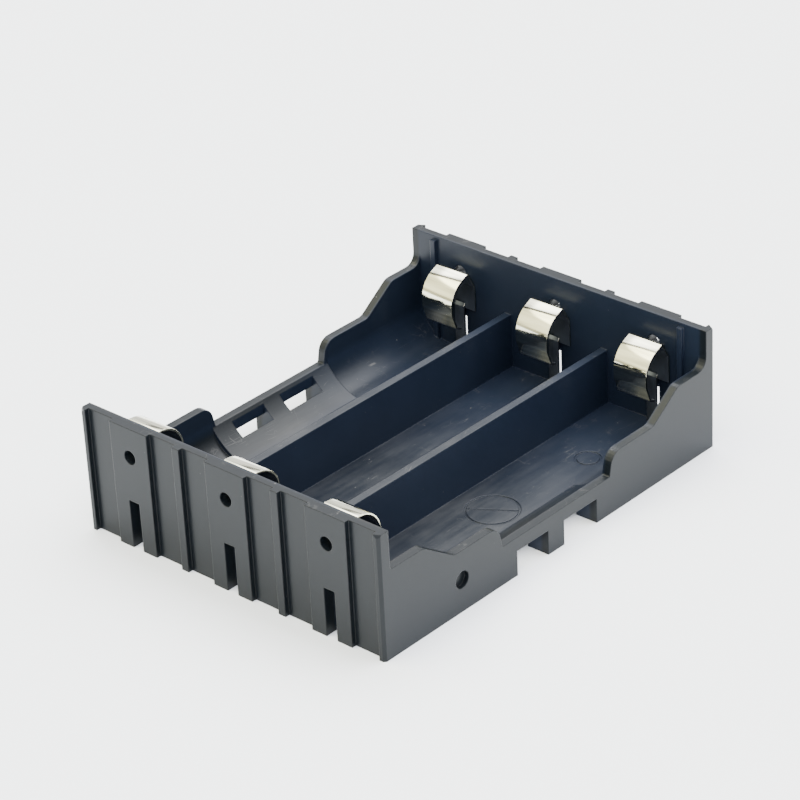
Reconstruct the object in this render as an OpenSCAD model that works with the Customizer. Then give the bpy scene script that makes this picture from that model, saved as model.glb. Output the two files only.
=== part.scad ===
// Three-bay holder for cylindrical cells: one moulded tray and six bent strip contacts.
// X runs across the bays, Y along the cells, Z up. The base rests on Z = 0.

/* [Tray] */
// Width of the tray across the bays
body_w = 60; // [56:0.5:70]
// Length of the tray along the cells
body_l = 77; // [70:0.5:90]
// Height of the end walls
body_h = 21; // [20.5:0.25:26]
// How much narrower each outer bay is than the middle one
outer_bay_less = 0.475; // [0:0.025:1]
// Thickness of the floor
floor_t = 1.5; // [1:0.1:2]
// Height of the hollow under the floor
foot_h = 0.6; // [0.3:0.1:1]
// Thickness of an end wall between its pads
end_wall_t = 1.3; // [1:0.1:2]
// Thickness of a side wall
side_wall_t = 1.45; // [1:0.05:1.8]
// Thickness of a divider
divider_t = 1.35; // [0.8:0.05:1.8]
// Height of the dividers
divider_h = 11.5; // [8:0.25:16]

/* [Side wall steps] */
// Height of the shoulder beside each end wall
shoulder_h = 14.6; // [12.5:0.1:18]
// Length of the shoulder, from the inner face of the end wall
shoulder_l = 7; // [5:0.1:9]
// Length of the ramp from the shoulder down to the step
ramp_l = 6.3; // [4:0.1:7]
// Height of the step
step_h = 10.3; // [9:0.1:12]
// Height of the low middle of the side wall
low_h = 6.5; // [5.8:0.1:7.5]
// Length of the low middle
low_l = 25; // [24:0.2:28]
// Run of the drop from the step to the low middle
drop_run = 0.7; // [0.4:0.1:1.5]
// Radius at the top of the drop
drop_r = 2.4; // [0.4:0.1:2.6]
// Radius at the foot and the top of the ramp
step_r = 2; // [0.4:0.1:2.4]
// Radius where the far shoulder meets its end wall
far_fillet_r = 2; // [0.5:0.1:3]
// Radius where the near shoulder meets its end wall
near_fillet_r = 0.4; // [0.2:0.1:2]

/* [Cradles] */
// Radius between the floor and the inside of each side wall
wall_fillet_r = 5.5; // [3:0.1:6]
// Width of the arc from the floor up to the low middle of the side wall
cradle_run = 6.1; // [5:0.1:7]
// Radius of that arc, which a cell lies in
cradle_r = 10.9; // [9.5:0.1:20]

/* [End walls] */
// How far the pads and ribs stand out of the end wall
pad_out = 0.8; // [0.4:0.1:1.2]
// Width of the pad behind each bay
pad_w = 7.8; // [5:0.1:10]
// Width of the rib behind each divider
rib_w = 1.4; // [0.8:0.1:3]
// Width of the post at each corner
post_w = 1.1; // [0.8:0.1:2]
// Diameter of the round hole above each contact
hole_d = 2.3; // [1.5:0.1:2.8]
// Height of the round holes
hole_z = 16; // [15.5:0.1:17.5]
// Height of the slots under the contacts
slot_h = 8.3; // [6:0.1:9]
// Width of the guide ribs inside the end walls
guide_w = 1; // [0.5:0.1:1.5]
// How far the guide ribs stand out of the end wall
guide_out = 0.6; // [0.3:0.1:1]
// Clearance between a contact and the guide rib beside it
guide_gap = 1.7; // [0.8:0.1:2.5]
// How far the guide ribs stop below the top of the end wall
guide_drop = 0.7; // [0:0.1:2]
// Chamfer down the four upright corners
corner_chamfer = 0.4; // [0.2:0.05:0.6]

/* [Side openings] */
// Height of the notches in the bottom of the side walls
notch_h = 4.2; // [3:0.1:5]
// Length from the near end of one notch to the far end of the other
notches_l = 18.5; // [14:0.1:22]
// Length of the tab between the two notches
tab_l = 3.7; // [2:0.1:5]
// How far the tab sits towards the near end
tab_shift = 0.3; // [0:0.1:1]
// Width of the window that each notch opens in the arc
window_w = 2.15; // [1:0.05:2.6]
// Width of the lip between the window and the side wall
lip_w = 0.4; // [0.3:0.05:0.8]
// Diameter of the round dimple in the right side wall
dimple_d = 2.8; // [1.5:0.1:3.5]
// Depth of the dimple
dimple_depth = 0.8; // [0.3:0.1:1]
// Height of the dimple
dimple_z = 5.4; // [4:0.1:7]
// Distance of the dimple from the middle of the tray
dimple_y = 21.5; // [16:0.1:28]

/* [Floor marks] */
// Outer diameter of the large ring in the right bay
ring_d = 8.7; // [5:0.1:10]
// Outer diameter of the small ring in the right bay
pin_mark_d = 4.3; // [3:0.1:6]
// Width of the sunk lines of the marks
mark_w = 0.35; // [0.2:0.05:0.6]
// Depth of the sunk lines
mark_depth = 0.15; // [0.05:0.05:0.3]

/* [Contacts] */
// Thickness of the contact strip
strip_t = 0.35; // [0.2:0.05:0.4]
// Width of the contact strip
strip_w = 6.4; // [4:0.1:8]
// Width of the leg below the strip
leg_w = 2; // [1.4:0.1:3]
// Clearance on each side of the leg in its slot
leg_gap = 0.05; // [0.05:0.05:0.2]
// How far the leg is set in from the wall
leg_set = 0.32; // [0.2:0.02:0.4]
// Height of the lower edge of the back plate
plate_z = 9.9; // [9.2:0.1:11]
// How far the front of a contact stands out of the wall
front_out = 5.9; // [4.5:0.1:8]
// Radius of the front bend
front_r = 4.3; // [3:0.1:4.6]
// Height of the crest of the far contacts
far_crest_z = 17.25; // [16.5:0.05:19]
// How far the crest of the far contacts stands out of the wall
far_crest_out = 1.75; // [1.2:0.05:2.2]
// Fall of the strip in front of the far crest, in degrees
far_fall = 23; // [5:1:26]
// Height of the crest of the near contacts
near_crest_z = 19.9; // [18.5:0.05:20.4]
// How far the crest of the near contacts stands out of the wall
near_crest_out = 1.15; // [0.8:0.05:1.6]
// Fall of the strip behind the near crest, in degrees
near_fall = 6; // [3:1:15]

/* [Hidden] */
$fn = 64;
eps = 0.05;
corner_steps = 6;
inner_w = body_w - 2 * side_wall_t;
end_total_t = end_wall_t + pad_out;
inner_l = body_l - 2 * end_total_t;
floor_z = foot_h + floor_t;

// Bays and dividers share the inside width
bay_w = (inner_w - 2 * divider_t + 2 * outer_bay_less) / 3;
bay_pitch = bay_w + divider_t;
bay_side = [-1, 0, 1];
divider_side = [-0.5, 0.5];

// The arc passes from the floor to the rim of the low middle of the side wall
cradle_rise = low_h - floor_z;
cradle_l = low_l + 2 * drop_run;
chord = norm([cradle_run, cradle_rise]);
sagitta_leg = sqrt(pow(cradle_r, 2) - pow(chord / 2, 2));
cradle_from_x = inner_w / 2 - cradle_run;
cradle_x = inner_w / 2 - cradle_run / 2 - sagitta_leg * cradle_rise / chord;
cradle_z = floor_z + cradle_rise / 2 + sagitta_leg * cradle_run / chord;

// Places of the windows in the arc and of the hollows under the cradles
pocket_x = inner_w / 2 - lip_w - window_w;
hollow_r = cradle_r + floor_t;
hollow_x = cradle_x + sqrt(pow(hollow_r, 2) - pow(cradle_z - foot_h, 2));
core_wall = 1.2;
core_x = inner_w / 2 - wall_fillet_r + core_wall;
core_y = cradle_l / 2 + core_wall;
core_l = inner_l / 2 - core_wall - core_y;
guide_x = bay_pitch + strip_w / 2 + guide_gap;

// The slot takes the leg and reaches past its front face
slot_w = leg_w + 2 * leg_gap;
slot_reach = leg_set + strip_t + 0.1;

// Facets that cut the top of the four corners
corner_cut_x = 1.0;
corner_cut_y = 0.6;
corner_cut_z = 1.0;

// Places of the marks in the right bay
ring_shift = 2.5;
ring_turn = 33;
pin_mark_shift = 0.7;
pin_mark_y = 20.7;

function unit(v) = v / norm(v);

// Points of the corner b between a and c, rounded to radius r
function corner(a, b, c, r) =
    let (to_a = unit(a - b),
        to_c = unit(c - b),
        half = acos(to_a * to_c) / 2,
        centre = b + unit(to_a + to_c) * r / sin(half),
        start = b + to_a * r / tan(half) - centre,
        finish = b + to_c * r / tan(half) - centre,
        from = atan2(start.y, start.x),
        turn_raw = atan2(finish.y, finish.x) - from,
        turn = turn_raw > 180 ? turn_raw - 360 : turn_raw < -180 ? turn_raw + 360 : turn_raw)
    [for (i = [0 : corner_steps])
        let (angle = from + turn * i / corner_steps)
        centre + r * [cos(angle), sin(angle)]];

// A path of [x, y, radius] points with its inner corners rounded
function rounded(path) =
    let (last = len(path) - 1, at = [for (p = path) [p.x, p.y]])
    concat([at[0]],
        [for (i = [1 : last - 1])
            each path[i][2] > 0 ? corner(at[i - 1], at[i], at[i + 1], path[i][2]) : [at[i]]],
        [at[last]]);

// The outline of a strip of thickness t bent along a path
function strip_outline(path, t) =
    let (last = len(path) - 1,
        side = [for (i = [0 : last])
            let (along = unit(path[min(i + 1, last)] - path[max(i - 1, 0)]))
            [-along.y, along.x] * t / 2])
    concat([for (i = [0 : last]) path[i] + side[i]],
        [for (i = [last : -1 : 0]) path[i] - side[i]]);

// Stands a Y-Z outline up and gives it a width along X, centred on X = 0
module across(width) {
    rotate([90, 0, 90])
        linear_extrude(height = width, center = true)
            children();
}

// Gives an X-Z outline a length along Y, from y = from
module along(from, length) {
    translate([0, from + length, 0])
        rotate([90, 0, 0])
            linear_extrude(height = length)
                children();
}

// Both ends of the tray
module both_ends() {
    children();
    mirror([0, 1, 0])
        children();
}

// Both sides of the tray
module both_sides() {
    children();
    mirror([1, 0, 0])
        children();
}

// The stepped top edge of a side wall, from the middle out to one end
function half_edge(fillet_r) = [
    [low_l / 2, low_h, 0.3],
    [low_l / 2 + drop_run, step_h, drop_r],
    [inner_l / 2 - shoulder_l - ramp_l, step_h, step_r],
    [inner_l / 2 - shoulder_l, shoulder_h, step_r],
    [inner_l / 2, shoulder_h, fillet_r],
    [inner_l / 2, body_h, 0],
    [inner_l / 2 + end_wall_t, body_h, 0],
    [inner_l / 2 + end_wall_t, 0, 0]];

// The side wall seen from the side
module side_wall_outline() {
    far = half_edge(far_fillet_r);
    near = half_edge(near_fillet_r);
    near_back = [for (i = [len(near) - 1 : -1 : 0]) [-near[i].x, near[i].y, near[i][2]]];
    polygon(rounded(concat(near_back, far)));
}

// Floor slab, with the fillets and arcs that lead up to the side walls
module floor_and_cradles() {
    translate([-body_w / 2, -inner_l / 2 - end_wall_t, 0])
        cube([body_w, inner_l + 2 * end_wall_t, floor_z]);
    both_sides() {
        both_ends()
            along(cradle_l / 2 - eps, (inner_l - cradle_l) / 2 + 2 * eps)
                difference() {
                    translate([inner_w / 2 - wall_fillet_r, floor_z - eps])
                        square([wall_fillet_r + eps, wall_fillet_r + eps]);
                    translate([inner_w / 2 - wall_fillet_r, floor_z + wall_fillet_r])
                        circle(r = wall_fillet_r, $fn = 96);
                }
        along(-cradle_l / 2, cradle_l)
            difference() {
                translate([cradle_from_x, floor_z - eps])
                    square([cradle_run + eps, cradle_rise + eps]);
                translate([cradle_x, cradle_z])
                    circle(r = cradle_r, $fn = 192);
            }
    }
}

// One end wall with its pads, ribs, corner posts and inner guide ribs
module end_wall() {
    translate([-body_w / 2, inner_l / 2, 0])
        cube([body_w, end_wall_t, body_h]);
    pad_y = inner_l / 2 + end_wall_t - eps;
    for (side = bay_side)
        translate([side * bay_pitch - pad_w / 2, pad_y, 0])
            cube([pad_w, pad_out + eps, body_h]);
    for (side = divider_side)
        translate([side * bay_pitch - rib_w / 2, pad_y, 0])
            cube([rib_w, pad_out + eps, body_h]);
    both_sides()
        translate([body_w / 2 - post_w, pad_y, 0])
            cube([post_w, pad_out + eps, body_h]);
    both_sides()
        translate([guide_x, inner_l / 2 - guide_out, floor_z - eps])
            cube([guide_w, guide_out + eps, body_h - guide_drop - floor_z + eps]);
}

// Hole above the contact and slot under it, for one bay
module end_wall_cuts() {
    for (side = bay_side) {
        translate([side * bay_pitch, inner_l / 2 - 1, hole_z])
            rotate([-90, 0, 0])
                cylinder(d = hole_d, h = end_total_t + 2);
        translate([side * bay_pitch - slot_w / 2, inner_l / 2 - slot_reach, -1])
            cube([slot_w, end_total_t + slot_reach + 1, slot_h + 1]);
    }
}

// Chamfer and top facet of the corner at +X +Y
module corner_cuts() {
    translate([body_w / 2, body_l / 2, -1])
        rotate([0, 0, 45])
            translate([-corner_chamfer / sqrt(2), -2, 0])
                cube([2, 4, body_h + 2]);
    slope = [1 / corner_cut_x, 1 / corner_cut_y, 1 / corner_cut_z];
    translate([body_w / 2, body_l / 2, body_h])
        rotate([0, 0, atan2(slope.y, slope.x)])
            rotate([0, -atan2(slope.z, norm([slope.x, slope.y])), 0])
                translate([-1 / norm(slope), -3, -3])
                    cube(6);
}

// The hollow below a rounded cradle, as an X-Z outline
module core_outline() {
    difference() {
        translate([core_x, -1])
            square([inner_w / 2 - core_x, floor_z + core_wall + 1]);
        translate([inner_w / 2 - wall_fillet_r, floor_z + wall_fillet_r])
            circle(r = wall_fillet_r + floor_t, $fn = 96);
    }
}

// The hollow below the arc, as an X-Z outline
module hollow_outline() {
    difference() {
        translate([hollow_x, -1])
            square([pocket_x - hollow_x + eps, low_h]);
        translate([cradle_x, cradle_z])
            circle(r = hollow_r, $fn = 192);
    }
}

// One notch in the foot of the side wall, with its window in the arc
module notch(from, length) {
    along(from, length)
        hollow_outline();
    translate([pocket_x, from, -1])
        cube([window_w, length, low_h + 2]);
    translate([pocket_x, from, -1])
        cube([body_w / 2 - pocket_x + 1, length, notch_h + 1]);
}

// Hollows, windows and notches along one side
module side_cuts() {
    both_ends()
        along(core_y, core_l)
            core_outline();
    notch(-notches_l / 2, notches_l / 2 - tab_l / 2 - tab_shift);
    notch(tab_l / 2 - tab_shift, notches_l / 2 - tab_l / 2 + tab_shift);
}

// A sunk ring of the mark line
module ring(d) {
    difference() {
        cylinder(d = d, h = 1);
        translate([0, 0, -1])
            cylinder(d = d - 2 * mark_w, h = 3);
    }
}

// Sunk marks in the floor of the right bay
module floor_marks() {
    translate([bay_pitch - ring_shift, 0, floor_z - mark_depth]) {
        ring(ring_d);
        rotate([0, 0, ring_turn])
            translate([-ring_d / 2 + mark_w, -mark_w / 2, 0])
                cube([ring_d - 2 * mark_w, mark_w, 1]);
    }
    translate([bay_pitch - pin_mark_shift, pin_mark_y, floor_z - mark_depth])
        ring(pin_mark_d);
}

// The moulded tray
module tray() {
    color("#4a4e52")
    difference() {
        union() {
            floor_and_cradles();
            both_ends()
                end_wall();
            both_sides()
                translate([body_w / 2 - side_wall_t / 2, 0, 0])
                    across(side_wall_t)
                        side_wall_outline();
            for (side = divider_side)
                translate([side * bay_pitch - divider_t / 2, -inner_l / 2 - eps, floor_z - eps])
                    cube([divider_t, inner_l + 2 * eps, divider_h - floor_z + eps]);
        }
        both_ends()
            end_wall_cuts();
        both_sides()
            both_ends()
                corner_cuts();
        both_sides()
            side_cuts();
        translate([-pocket_x, -inner_l / 2, -1])
            cube([2 * pocket_x, inner_l, foot_h + 1]);
        translate([body_w / 2 - dimple_depth, -dimple_y, dimple_z])
            rotate([0, 90, 0])
                cylinder(d = dimple_d, h = 2);
        floor_marks();
    }
}

// Centre line of a contact seen from the side: distance out of the wall, height, bend radius
function strip_path(crest_out, crest_z, fall) = [
    [strip_t / 2, plate_z, 0],
    [strip_t / 2, crest_z - 2.85, 0.6],
    [crest_out, crest_z, 0.45],
    [front_out, crest_z - tan(fall) * (front_out - crest_out), front_r],
    [front_out, crest_z - 5.9, 1.5],
    [front_out - 1, crest_z - 8.6, 0.6],
    [front_out - 2, crest_z - 9, 0]];

// Centre line of the leg, stepped in from the back plate
leg_path = [
    [strip_t / 2, plate_z + 1.6, 0],
    [strip_t / 2, plate_z + 0.8, 0.2],
    [leg_set + strip_t / 2, plate_z + 0.2, 0.2],
    [leg_set + strip_t / 2, 0.5, 0]];

// One bent strip contact, standing on the wall at Y = 0 and facing +Y
module contact(crest_out, crest_z, fall) {
    color("#d9d3bc")
    union() {
        across(strip_w)
            polygon(strip_outline(rounded(strip_path(crest_out, crest_z, fall)), strip_t));
        across(leg_w)
            polygon(strip_outline(rounded(leg_path), strip_t));
    }
}

module near_contact(side) {
    translate([side * bay_pitch, -inner_l / 2, 0])
        contact(near_crest_out, near_crest_z, near_fall);
}

module far_contact(side) {
    mirror([0, 1, 0])
        translate([side * bay_pitch, -inner_l / 2, 0])
            contact(far_crest_out, far_crest_z, far_fall);
}

tray();
near_contact(-1);  // near_contact_1
near_contact(0);  // near_contact_2
near_contact(1);  // near_contact_3
far_contact(-1);  // far_contact_1
far_contact(0);  // far_contact_2
far_contact(1);  // far_contact_3
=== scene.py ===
import math

import bmesh
import bpy
from mathutils import Matrix, Vector


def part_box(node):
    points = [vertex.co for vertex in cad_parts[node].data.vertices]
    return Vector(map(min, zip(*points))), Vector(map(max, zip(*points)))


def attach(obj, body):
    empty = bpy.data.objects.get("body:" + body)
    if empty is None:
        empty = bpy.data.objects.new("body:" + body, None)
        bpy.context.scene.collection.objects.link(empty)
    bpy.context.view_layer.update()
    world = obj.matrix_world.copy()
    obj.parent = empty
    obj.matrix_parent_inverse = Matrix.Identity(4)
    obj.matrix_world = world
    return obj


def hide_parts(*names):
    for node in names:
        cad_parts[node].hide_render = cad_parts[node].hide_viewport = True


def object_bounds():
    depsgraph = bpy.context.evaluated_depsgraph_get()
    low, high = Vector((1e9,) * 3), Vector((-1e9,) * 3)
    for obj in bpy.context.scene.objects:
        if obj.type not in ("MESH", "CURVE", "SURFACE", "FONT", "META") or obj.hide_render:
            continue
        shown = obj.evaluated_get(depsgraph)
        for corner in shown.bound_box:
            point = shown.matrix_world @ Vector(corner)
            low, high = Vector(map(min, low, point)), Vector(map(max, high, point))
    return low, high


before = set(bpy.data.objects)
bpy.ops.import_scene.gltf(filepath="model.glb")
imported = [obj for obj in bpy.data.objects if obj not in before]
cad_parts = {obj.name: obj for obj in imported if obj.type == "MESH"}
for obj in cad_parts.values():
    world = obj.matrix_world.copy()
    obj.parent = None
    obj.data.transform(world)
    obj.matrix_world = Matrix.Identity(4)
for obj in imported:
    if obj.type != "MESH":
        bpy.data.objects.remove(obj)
cad_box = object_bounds()
mm = 0.001


# The tray. One injection moulding in black ABS: floor, end walls with pads and ribs,
# stepped side walls and two dividers. It has been handled since, so faint streaks, fine
# scratches and specks of dust show on it, mostly on the faces that look up.
side_wall = 1.6
end_wall = 2.2
inside_x = cad_box[1].x / mm - side_wall
inside_y = cad_box[1].y / mm - end_wall
# Where the painted light of the outside fades into the painted shade of the inside, where the
# cradles take painted light, and where that light fades out towards the far end, in mm.
outside_fade = 0.6
cradle_x, cradle_fade = 20.5, 3
lit_until_y, shade_from_y = 0, 26
edge_r = 0.22
pebble_depth = 0.01
# Two blue blacks for the inside, painted shade, and two grey blacks for the lit outside, painted
# light.
shade_blue_dark, shade_blue_light = "#131A27", "#1A2230"
lit_grey_dark, lit_grey_light = "#0B0F13", "#0F1418"
# The pale grey of scratches and dust, also used for the pale film, which is partly painted sheen.
pale_mark_and_sheen = "#6A6967"


def linear(code):
    """An sRGB hex colour as the linear colour that a shader takes."""
    parts = [int(code[i:i + 2], 16) / 255 for i in (1, 3, 5)]
    return [c / 12.92 if c <= 0.04045 else ((c + 0.055) / 1.055) ** 2.4 for c in parts] + [1.0]


def add(tree, kind, inputs=None, **settings):
    """Adds a node. An input is a value, a node (then its first output) or a node's output."""
    made = tree.nodes.new(kind)
    for name, value in settings.items():
        setattr(made, name, value)
    for name, value in (inputs or {}).items():
        if isinstance(value, bpy.types.Node):
            value = value.outputs[0]
        if isinstance(value, bpy.types.NodeSocket):
            tree.links.new(value, made.inputs[name])
        else:
            made.inputs[name].default_value = value
    return made


def new_material(name):
    """An empty material with its node tree."""
    made = bpy.data.materials.new(name)
    made.use_nodes = True
    made.node_tree.nodes.clear()
    return made, made.node_tree


# Injection-moulded ABS, black: a dark body under a smooth skin, so most of what the eye sees
# is the mirror of the room, blurred by the skin's fine texture. The blue cast of the inside
# colours is painted shade. The tone varies in patches about 8 mm across. A colour mix has its
# two colours on inputs 6 and 7, and gives the result on output 2.
abs_black, tree = new_material("moulded black ABS")
place = add(tree, "ShaderNodeTexCoord")
in_mm = add(tree, "ShaderNodeMapping", {
    "Vector": place.outputs["Object"], "Scale": (1 / mm, 1 / mm, 1 / mm)})
patches = add(tree, "ShaderNodeTexNoise", {"Vector": in_mm, "Scale": 0.12, "Detail": 3.0})
shade_blue = add(tree, "ShaderNodeMix", {
    "Factor": patches, 6: linear(shade_blue_dark), 7: linear(shade_blue_light)}, data_type="RGBA")
lit_grey = add(tree, "ShaderNodeMix", {
    "Factor": patches, 6: linear(lit_grey_dark), 7: linear(lit_grey_light)}, data_type="RGBA")

# Painted light and shade: the outside, which is lit, is painted a plain grey black, and the
# inside of the walls a lighter blue black that stands in for the cool shade inside the tray.
where = add(tree, "ShaderNodeSeparateXYZ", {"Vector": in_mm})
off_x = add(tree, "ShaderNodeMath", {0: where.outputs["X"]}, operation="ABSOLUTE")
off_y = add(tree, "ShaderNodeMath", {0: where.outputs["Y"]}, operation="ABSOLUTE")
past_x = add(tree, "ShaderNodeMapRange", {
    "Value": off_x, "From Min": inside_x, "From Max": inside_x + outside_fade})
past_y = add(tree, "ShaderNodeMapRange", {
    "Value": off_y, "From Min": inside_y, "From Max": inside_y + outside_fade})
outside = add(tree, "ShaderNodeMath", {0: past_x, 1: past_y}, operation="MAXIMUM")

# Inside, faces that look up take the grey of the lit outside in part, and the cradles beside
# the outer cells wholly, as painted light. Both get less towards the far end, which is painted as
# deeper in shade.
facing = add(tree, "ShaderNodeNewGeometry")
axes = add(tree, "ShaderNodeSeparateXYZ", {"Vector": facing.outputs["Normal"]})
looks_up = add(tree, "ShaderNodeMapRange", {
    "Value": axes.outputs["Z"], "From Min": 0.3, "From Max": 0.8})
near_part = add(tree, "ShaderNodeMapRange", {
    "Value": where.outputs["Y"],
    "From Min": lit_until_y, "From Max": shade_from_y, "To Min": 1.0, "To Max": 0.15})
less = add(tree, "ShaderNodeMath", {0: near_part, 1: 0.6}, operation="MULTIPLY")
half_lit = add(tree, "ShaderNodeMath", {0: looks_up, 1: less}, operation="MULTIPLY")
tilted = add(tree, "ShaderNodeMapRange", {
    "Value": axes.outputs["Z"], "From Min": 0.05, "From Max": 0.4})
by_side = add(tree, "ShaderNodeMapRange", {
    "Value": off_x, "From Min": cradle_x, "From Max": cradle_x + cradle_fade})
beside = add(tree, "ShaderNodeMath", {0: tilted, 1: by_side}, operation="MULTIPLY")
cradles = add(tree, "ShaderNodeMath", {0: beside, 1: near_part}, operation="MULTIPLY")
inner_lit = add(tree, "ShaderNodeMath", {0: cradles, 1: half_lit}, operation="MAXIMUM")
lit_part = add(tree, "ShaderNodeMath", {0: outside, 1: inner_lit}, operation="MAXIMUM")
body_colour = add(tree, "ShaderNodeMix", {
    "Factor": lit_part, 6: shade_blue.outputs[2], 7: lit_grey.outputs[2]}, data_type="RGBA")

# Streaks where cells were slid in and out, about 1 mm wide and up to 10 mm long. They
# lie along the bays and show on faces that look up. The walls carry faint upright lines,
# 0.4 mm apart, from being drawn out of the tool.
along_bay = add(tree, "ShaderNodeMapping", {
    "Vector": in_mm, "Scale": (0.9, 0.11, 0.9), "Rotation": (0, 0, 0.05)})
streaks = add(tree, "ShaderNodeTexNoise", {
    "Vector": along_bay, "Scale": 1.0, "Detail": 4.0, "Roughness": 0.6})
streak_rough = add(tree, "ShaderNodeMapRange", {
    "Value": streaks, "From Min": 0.35, "From Max": 0.65, "To Min": 0.0, "To Max": 0.05})
streak_part = add(tree, "ShaderNodeMath", {0: streak_rough, 1: looks_up}, operation="MULTIPLY")
drawn = add(tree, "ShaderNodeMapping", {"Vector": in_mm, "Scale": (2.4, 2.4, 0.06)})
draw_lines = add(tree, "ShaderNodeTexNoise", {"Vector": drawn, "Scale": 1.0, "Detail": 3.0})
skin_rough = add(tree, "ShaderNodeMapRange", {
    "Value": draw_lines, "From Min": 0.3, "From Max": 0.7, "To Min": 0.3, "To Max": 0.32})
rough = add(tree, "ShaderNodeMath", {0: skin_rough, 1: streak_part}, operation="ADD")

# Hair scratches: thin level lines of a stretched noise, about 0.06 mm wide, and faint
# curls from wiping, level lines of a noise turned in on itself. Both are broken up by
# a second noise, and show on faces that look up.
askew = add(tree, "ShaderNodeMapping", {
    "Vector": in_mm, "Scale": (0.8, 0.05, 0.8), "Rotation": (0, 0, 0.25)})
hairs = add(tree, "ShaderNodeTexNoise", {"Vector": askew, "Scale": 1.3, "Detail": 0.0})
from_hair = add(tree, "ShaderNodeMath", {0: hairs, 1: 0.5}, operation="SUBTRACT")
off_hair = add(tree, "ShaderNodeMath", {0: from_hair}, operation="ABSOLUTE")
hair_line = add(tree, "ShaderNodeMapRange", {
    "Value": off_hair, "From Min": 0.0, "From Max": 0.008, "To Min": 1.0, "To Max": 0.0})
curls = add(tree, "ShaderNodeTexNoise", {
    "Vector": in_mm, "Scale": 0.22, "Detail": 2.0, "Distortion": 1.2})
from_curl = add(tree, "ShaderNodeMath", {0: curls, 1: 0.5}, operation="SUBTRACT")
off_curl = add(tree, "ShaderNodeMath", {0: from_curl}, operation="ABSOLUTE")
curl_line = add(tree, "ShaderNodeMapRange", {
    "Value": off_curl, "From Min": 0.0, "From Max": 0.012, "To Min": 0.6, "To Max": 0.0})
broken = add(tree, "ShaderNodeTexNoise", {"Vector": in_mm, "Scale": 0.35, "Detail": 4.0})
kept = add(tree, "ShaderNodeMapRange", {"Value": broken, "From Min": 0.52, "From Max": 0.62})
line = add(tree, "ShaderNodeMath", {0: hair_line, 1: curl_line}, operation="MAXIMUM")
scratch = add(tree, "ShaderNodeMath", {0: line, 1: kept}, operation="MULTIPLY")
scratch_up = add(tree, "ShaderNodeMath", {0: scratch, 1: looks_up}, operation="MULTIPLY")
scratch_part = add(tree, "ShaderNodeMath", {0: scratch_up, 1: 0.35}, operation="MULTIPLY")

# Dust: specks 0.1 to 0.25 mm across, one at most in each cell of about 1.8 mm. They gather
# where the second noise is high, and show a quarter as strongly on faces that don't look up.
grains = add(tree, "ShaderNodeTexVoronoi", {"Vector": in_mm, "Scale": 0.55})
grain = add(tree, "ShaderNodeMapRange", {
    "Value": grains.outputs["Distance"],
    "From Min": 0.03, "From Max": 0.07, "To Min": 1.0, "To Max": 0.0})
pick = add(tree, "ShaderNodeSeparateColor", {"Color": grains.outputs["Color"]})
sparse = add(tree, "ShaderNodeMapRange", {
    "Value": broken, "From Min": 0.4, "From Max": 0.65, "To Min": 0.95, "To Max": 0.5})
few = add(tree, "ShaderNodeMath", {0: pick.outputs["Red"], 1: sparse}, operation="GREATER_THAN")
settled = add(tree, "ShaderNodeMapRange", {
    "Value": axes.outputs["Z"], "From Min": 0.3, "From Max": 0.8, "To Min": 0.25})
some = add(tree, "ShaderNodeMath", {0: few, 1: settled}, operation="MULTIPLY")
dust = add(tree, "ShaderNodeMath", {0: grain, 1: some}, operation="MULTIPLY")

# A thin pale film lies in clouds on the level faces inside, less towards the far end.
# It is partly a real haze and partly painted sheen that stands in for the light the floors
# reflect. Its fade towards the far end is painted shade.
clouds = add(tree, "ShaderNodeMath", {0: patches, 1: streaks}, operation="MULTIPLY")
haze_and_sheen_level = add(tree, "ShaderNodeMapRange", {
    "Value": clouds, "From Min": 0.14, "From Max": 0.4, "To Min": 0.02, "To Max": 0.145})
level = add(tree, "ShaderNodeMapRange", {
    "Value": axes.outputs["Z"], "From Min": 0.75, "From Max": 0.97})
inside = add(tree, "ShaderNodeMath", {0: 1.0, 1: outside}, operation="SUBTRACT")
lies_inside = add(tree, "ShaderNodeMath", {0: level, 1: inside}, operation="MULTIPLY")
haze_and_sheen_near = add(tree, "ShaderNodeMath", {0: haze_and_sheen_level, 1: near_part}, operation="MULTIPLY")
haze_and_sheen = add(tree, "ShaderNodeMath", {0: haze_and_sheen_near, 1: lies_inside}, operation="MULTIPLY")
marked = add(tree, "ShaderNodeMath", {0: scratch_part, 1: dust}, operation="MAXIMUM")
pale_part = add(tree, "ShaderNodeMath", {0: marked, 1: haze_and_sheen}, operation="MAXIMUM", use_clamp=True)
skin_colour = add(tree, "ShaderNodeMix", {
    "Factor": pale_part, 6: body_colour.outputs[2], 7: linear(pale_mark_and_sheen)}, data_type="RGBA")

# The skin itself is faintly pebbled, 0.3 mm from crest to crest, so it mirrors less than
# polished plastic does, and every edge of the tool was eased, which catches the light.
pebbles = add(tree, "ShaderNodeTexNoise", {"Vector": in_mm, "Scale": 3.0, "Detail": 2.0})
round_edges = add(tree, "ShaderNodeBevel", {"Radius": edge_r * mm}, samples=6)
relief = add(tree, "ShaderNodeBump", {
    "Strength": 0.2, "Distance": pebble_depth * mm, "Height": pebbles, "Normal": round_edges})
plastic = add(tree, "ShaderNodeBsdfPrincipled", {
    "Base Color": skin_colour.outputs[2],
    "Roughness": rough,
    "Normal": relief,
    "Specular IOR Level": 0.22,
    "IOR": 1.5})
add(tree, "ShaderNodeOutputMaterial", {"Surface": plastic})

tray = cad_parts["tray"]
for slot in tray.material_slots:
    slot.material = abs_black


# The six contacts. Each is one strip of spring steel, stamped, nickel plated and bent over
# at the top, with a narrow leg that goes down the slot in the end wall. They are pushed in
# from above and stand a little higher at the near end.
low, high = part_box("near_contact_1")
strip_t = 0.35
strip_w = (high.x - low.x) / mm
sheared_r = 0.08
plate_z = 9.9

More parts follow.
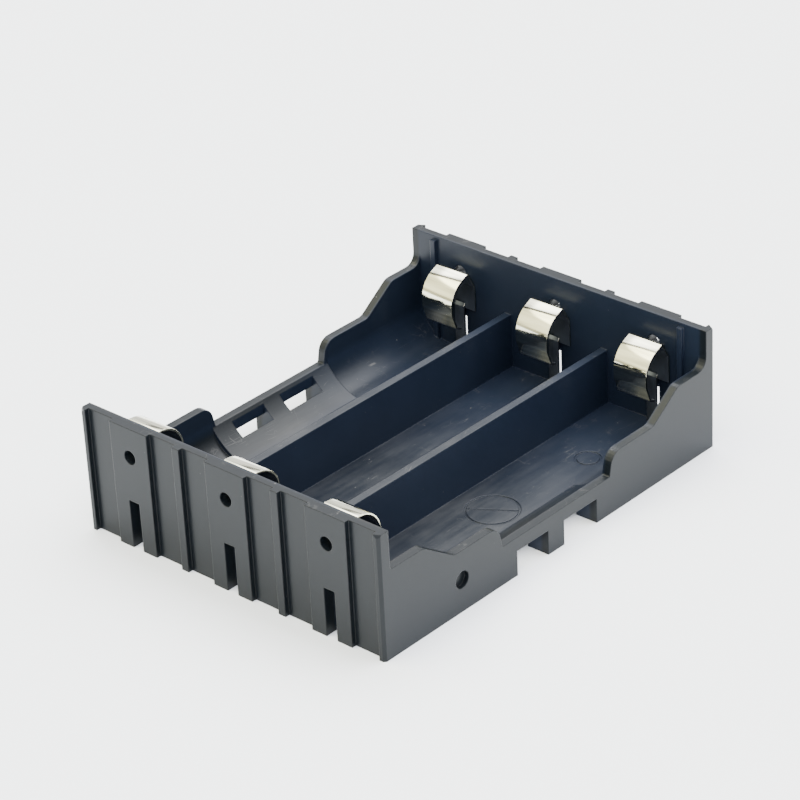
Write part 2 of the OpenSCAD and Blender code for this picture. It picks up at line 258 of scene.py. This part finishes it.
# The bent-over part, from the wall outwards: shoulder, crest, brow, heel, toe and tip. Each
# drop is measured down from the crest.
near_crest_out, near_crest_z, near_fall = 1.15, 19.9, 6
far_crest_out, far_crest_z, far_fall = 1.75, 17.25, 23
front_out = (high.y - low.y) / mm - strip_t / 2
shoulder_drop, shoulder_r = 2.85, 0.6
crest_r = 0.45
brow_r = 4.3
heel_drop, heel_r = 5.9, 1.5
toe_in, toe_drop, toe_r = 1, 8.6, 0.6
tip_in, tip_drop = 2, 9

# The leg starts on the plate and steps into the slot.
leg_w = 2
leg_in = 0.32
leg_end_z = low.z / mm
lap = 1.6
step_top, step_end, step_r = 0.8, 0.2, 0.2


def side_path(crest_out, crest_z, fall):
    """Centre line of a contact from the side: out of the wall, height, bend radius."""
    brow_z = crest_z - math.tan(math.radians(fall)) * (front_out - crest_out)
    return [
        (strip_t / 2, plate_z, 0),
        (strip_t / 2, crest_z - shoulder_drop, shoulder_r),
        (crest_out, crest_z, crest_r),
        (front_out, brow_z, brow_r),
        (front_out, crest_z - heel_drop, heel_r),
        (front_out - toe_in, crest_z - toe_drop, toe_r),
        (front_out - tip_in, crest_z - tip_drop, 0)]


leg_path = [
    (strip_t / 2, plate_z + lap, 0),
    (strip_t / 2, plate_z + step_top, step_r),
    (leg_in + strip_t / 2, plate_z + step_end, step_r),
    (leg_in + strip_t / 2, leg_end_z, 0)]

# Nickel over spring steel, plated after bending: a soft mirror, slightly warm, with faint
# bands across the strip, 0.5 to 1 mm apart, where the bending tool pressed it.
nickel, tree = new_material("nickel-plated spring steel")
place = add(tree, "ShaderNodeTexCoord")
in_mm = add(tree, "ShaderNodeMapping", {
    "Vector": place.outputs["Object"], "Scale": (1 / mm, 1 / mm, 1 / mm)})
pressed = add(tree, "ShaderNodeMapping", {"Vector": in_mm, "Scale": (0.06, 1.2, 1.2)})
bands = add(tree, "ShaderNodeTexNoise", {"Vector": pressed, "Scale": 1.0, "Detail": 3.0})
rough = add(tree, "ShaderNodeMapRange", {
    "Value": bands, "From Min": 0.3, "From Max": 0.7, "To Min": 0.08, "To Max": 0.15})
shade = add(tree, "ShaderNodeMapRange", {"Value": bands, "From Min": 0.35, "From Max": 0.65})
plating = add(tree, "ShaderNodeMix", {
    "Factor": shade, 6: linear("#C5C3AF"), 7: linear("#F3F0D8")}, data_type="RGBA")
metal = add(tree, "ShaderNodeBsdfPrincipled", {
    "Base Color": plating.outputs[2], "Metallic": 1.0, "Roughness": rough})
add(tree, "ShaderNodeOutputMaterial", {"Surface": metal})

# The side of the strip that faces into the bend, and the leg, take a darker, duller grey
# steel: painted shade for the inside of the bend and for the leg down in its slot.
shade_steel, tree = new_material("steel darkened as painted shade")
steel = add(tree, "ShaderNodeBsdfPrincipled", {
    "Base Color": linear("#6C727C"), "Metallic": 1.0, "Roughness": 0.42})
add(tree, "ShaderNodeOutputMaterial", {"Surface": steel})

# One tree bends a flat strip along a path: it rounds the path's corners by the radius
# kept on each point, and sweeps the strip's section, with its sheared edges eased, along it.
bent_strip = bpy.data.node_groups.new("bent strip", "GeometryNodeTree")
bent_strip.interface.new_socket("Path", in_out="INPUT", socket_type="NodeSocketGeometry")
for name in ("Width", "Thickness", "Edge radius"):
    bent_strip.interface.new_socket(name, in_out="INPUT", socket_type="NodeSocketFloat")
bent_strip.interface.new_socket("Strip", in_out="OUTPUT", socket_type="NodeSocketGeometry")
given = add(bent_strip, "NodeGroupInput")
bend = add(bent_strip, "GeometryNodeInputNamedAttribute", {"Name": "bend"}, data_type="FLOAT")
wire = add(bent_strip, "GeometryNodeMeshToCurve", {"Mesh": given.outputs["Path"]})
eased = add(bent_strip, "GeometryNodeFilletCurve", {
    "Curve": wire, "Radius": bend.outputs["Attribute"], "Count": 18}, mode="POLY")
upright = add(bent_strip, "GeometryNodeSetCurveNormal", {
    "Curve": eased, "Normal": (1, 0, 0)}, mode="FREE")
section = add(bent_strip, "GeometryNodeCurvePrimitiveQuadrilateral", {
    "Width": given.outputs["Width"], "Height": given.outputs["Thickness"]})
soft_section = add(bent_strip, "GeometryNodeFilletCurve", {
    "Curve": section, "Radius": given.outputs["Edge radius"], "Count": 3}, mode="POLY")
swept = add(bent_strip, "GeometryNodeCurveToMesh", {
    "Curve": upright, "Profile Curve": soft_section, "Fill Caps": True})
real = add(bent_strip, "GeometryNodeRealizeInstances", {"Geometry": swept})
plated = add(bent_strip, "GeometryNodeSetMaterial", {"Geometry": real, "Material": nickel})
add(bent_strip, "NodeGroupOutput", {"Strip": plated})


def swept_strip(path, width):
    """The bent strip along a side path, as a plain mesh."""
    points = [(0, out * mm, z * mm) for out, z, r in path]
    wire = bpy.data.meshes.new("path")
    wire.from_pydata(points, [(i, i + 1) for i in range(len(path) - 1)], [])
    radii = wire.attributes.new("bend", "FLOAT", "POINT")
    radii.data.foreach_set("value", [r * mm for out, z, r in path])
    draft = bpy.data.objects.new("path", wire)
    bpy.context.scene.collection.objects.link(draft)
    sweep = draft.modifiers.new("bent strip", "NODES")
    sweep.node_group = bent_strip
    sizes = {"Width": width * mm, "Thickness": strip_t * mm, "Edge radius": sheared_r * mm}
    for item in bent_strip.interface.items_tree:
        if item.name in sizes:
            sweep[item.identifier] = sizes[item.name]
    seen = draft.evaluated_get(bpy.context.evaluated_depsgraph_get())
    made = bpy.data.meshes.new_from_object(seen)
    bpy.data.objects.remove(draft)
    return made


# Each contact is put on the wall that its solid stands on. The core is a point inside the
# bend, which tells the strip's inward side from its outward one.
near_path = side_path(near_crest_out, near_crest_z, near_fall)
far_path = side_path(far_crest_out, far_crest_z, far_fall)
core_out = 3
core_drop = 4.5
leg_top_z = plate_z - 0.1
for end, facing_y, path in (("near", 1, near_path), ("far", -1, far_path)):
    crest_z = max(z for out, z, r in path)
    for number in (1, 2, 3):
        low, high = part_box(f"{end}_contact_{number}")
        bay_x = (low.x + high.x) / 2
        wall_y = low.y if end == "near" else high.y
        core = Vector((bay_x, wall_y + facing_y * core_out * mm, (crest_z - core_drop) * mm))
        turned = Matrix.Diagonal((facing_y, facing_y, 1, 1))
        shell = bmesh.new()
        for strip in (swept_strip(path, strip_w), swept_strip(leg_path, leg_w)):
            shell.from_mesh(strip)
        bmesh.ops.remove_doubles(shell, verts=shell.verts, dist=0.001 * mm)
        shell.transform(Matrix.Translation((bay_x, wall_y, 0)) @ turned)
        shell.normal_update()
        bmesh.ops.recalc_face_normals(shell, faces=shell.faces)
        shell.normal_update()
        # Faces on the inward side of the bend and on the leg take the darker steel as painted
        # shade; the rest is nickel.
        for face in shell.faces:
            middle = face.calc_center_median()
            from_core = middle - core
            from_core.x = 0
            inward = face.normal.dot(from_core) < 0 and abs(face.normal.x) < 0.5
            on_leg = middle.z < leg_top_z * mm
            face.material_index = 1 if inward or on_leg else 0
        contact_mesh = bpy.data.meshes.new(f"{end}_strip_{number}")
        shell.to_mesh(contact_mesh)
        shell.free()
        contact_mesh.materials.append(nickel)
        contact_mesh.materials.append(shade_steel)
        contact_mesh.shade_smooth()
        contact_mesh.set_sharp_from_angle(angle=math.radians(40))
        contact = bpy.data.objects.new(f"{end}_strip_{number}", contact_mesh)
        bpy.context.scene.collection.objects.link(contact)
        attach(contact, "root")
        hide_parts(f"{end}_contact_{number}")


# The floor: a sheet of white photographic paper, matt and plain, 4 m on each side.
paper, tree = new_material("matt white background paper")
sheet = add(tree, "ShaderNodeBsdfPrincipled", {
    "Base Color": linear("#F0F3F7"), "Roughness": 0.9})
add(tree, "ShaderNodeOutputMaterial", {"Surface": sheet})
reach = 2
corners = [(-reach, -reach, 0), (reach, -reach, 0), (reach, reach, 0), (-reach, reach, 0)]
floor_mesh = bpy.data.meshes.new("floor")
floor_mesh.from_pydata(corners, [], [(0, 1, 2, 3)])
floor_mesh.materials.append(paper)
floor = bpy.data.objects.new("floor", floor_mesh)
bpy.context.scene.collection.objects.link(floor)

# The light: a white tent with a soft box overhead. Behind the part the paper sweeps up to
# about 22 degrees, and a dark gap follows before the tent's back wall, from 27 degrees up.
sweep_light, gap_light, back_light = 1.5, 0.4, 4.5
low_front_light, front_light = 1.3, 3.0
box_light = 5.8
soft = {"interpolation_type": "SMOOTHSTEP"}
tent = bpy.data.worlds.new("white tent")
tent.use_nodes = True
tree = tent.node_tree

# Directions are X to the right, Y to the back and Z up, the sine of the height above the
# floor. A mix of numbers has them on inputs 2 and 3.
around = add(tree, "ShaderNodeTexCoord")
towards = add(tree, "ShaderNodeSeparateXYZ", {"Vector": around.outputs["Generated"]})
back_wall = add(tree, "ShaderNodeMapRange", {
    "Value": towards.outputs["Z"],
    "From Min": 0.45, "From Max": 0.54, "To Min": gap_light, "To Max": back_light}, **soft)
sweep = add(tree, "ShaderNodeMapRange", {
    "Value": towards.outputs["Z"],
    "From Min": 0.36, "From Max": 0.4, "To Min": sweep_light, "To Max": 0.0}, **soft)
behind = add(tree, "ShaderNodeMath", {0: back_wall, 1: sweep}, operation="ADD")
front_wall = add(tree, "ShaderNodeMapRange", {
    "Value": towards.outputs["Z"],
    "From Min": 0.1, "From Max": 0.25, "To Min": low_front_light, "To Max": front_light}, **soft)
to_back = add(tree, "ShaderNodeMapRange", {
    "Value": towards.outputs["Y"], "From Min": 0.1, "From Max": 0.4}, **soft)
walls = add(tree, "ShaderNodeMix", {
    "Factor": to_back, 2: front_wall, 3: behind}, data_type="FLOAT")
box = add(tree, "ShaderNodeMapRange", {
    "Value": towards.outputs["Z"],
    "From Min": 0.7, "From Max": 0.77, "To Min": 0.0, "To Max": box_light}, **soft)
overhead = add(tree, "ShaderNodeMath", {0: walls, 1: box}, operation="ADD")

# A dark pole carries the tent from left to right over the part, and shows as a thin line
# in the crests of the contacts. The lamp outside the front left corner is warm.
off_ridge = add(tree, "ShaderNodeMath", {0: towards.outputs["Y"]}, operation="ABSOLUTE")
pole = add(tree, "ShaderNodeMapRange", {
    "Value": off_ridge,
    "From Min": 0.05, "From Max": 0.085, "To Min": 0.03, "To Max": 1.0}, **soft)
light = add(tree, "ShaderNodeMath", {0: overhead, 1: pole}, operation="MULTIPLY")
to_left = add(tree, "ShaderNodeMapRange", {
    "Value": towards.outputs["X"],
    "From Min": -0.3, "From Max": 0.0, "To Min": 1.0, "To Max": 0.0}, **soft)
to_front = add(tree, "ShaderNodeMapRange", {
    "Value": towards.outputs["Y"],
    "From Min": -0.12, "From Max": 0.02, "To Min": 1.0, "To Max": 0.0}, **soft)
lamp = add(tree, "ShaderNodeMath", {0: to_left, 1: to_front}, operation="MULTIPLY")
tint = add(tree, "ShaderNodeMix", {
    "Factor": lamp, 6: linear("#FBFCFE"), 7: linear("#FBF7D6")}, data_type="RGBA")
background = tree.nodes["Background"]
tree.links.new(tint.outputs[2], background.inputs["Color"])
tree.links.new(light.outputs[0], background.inputs["Strength"])
bpy.context.scene.world = tent

# The camera: a long lens from the front right, a little above, tilted slightly. Its lens,
# place and tilt were fitted to the corners of the tray in the photograph.
lens = bpy.data.cameras.new("photo camera")
lens.sensor_width = 36
lens.lens = 149.48
lens.clip_start = 0.01
lens.clip_end = 20
turn, rise, roll = (math.radians(angle) for angle in (43.158, 29.245, -2.995))
aim = Vector((-6.726, 6.553, 10)) * mm
distance = 515.3
back = Vector((math.sin(turn) * math.cos(rise), -math.cos(turn) * math.cos(rise), math.sin(rise)))
right = Vector((math.cos(turn), math.sin(turn), 0))
up = back.cross(right)
across = right * math.cos(roll) + up * math.sin(roll)
upwards = up * math.cos(roll) - right * math.sin(roll)
camera = bpy.data.objects.new("photo camera", lens)
camera.matrix_world = (
    Matrix.Translation(aim + back * distance * mm)
    @ Matrix((across, upwards, back)).transposed().to_4x4())
bpy.context.scene.collection.objects.link(camera)
bpy.context.scene.camera = camera
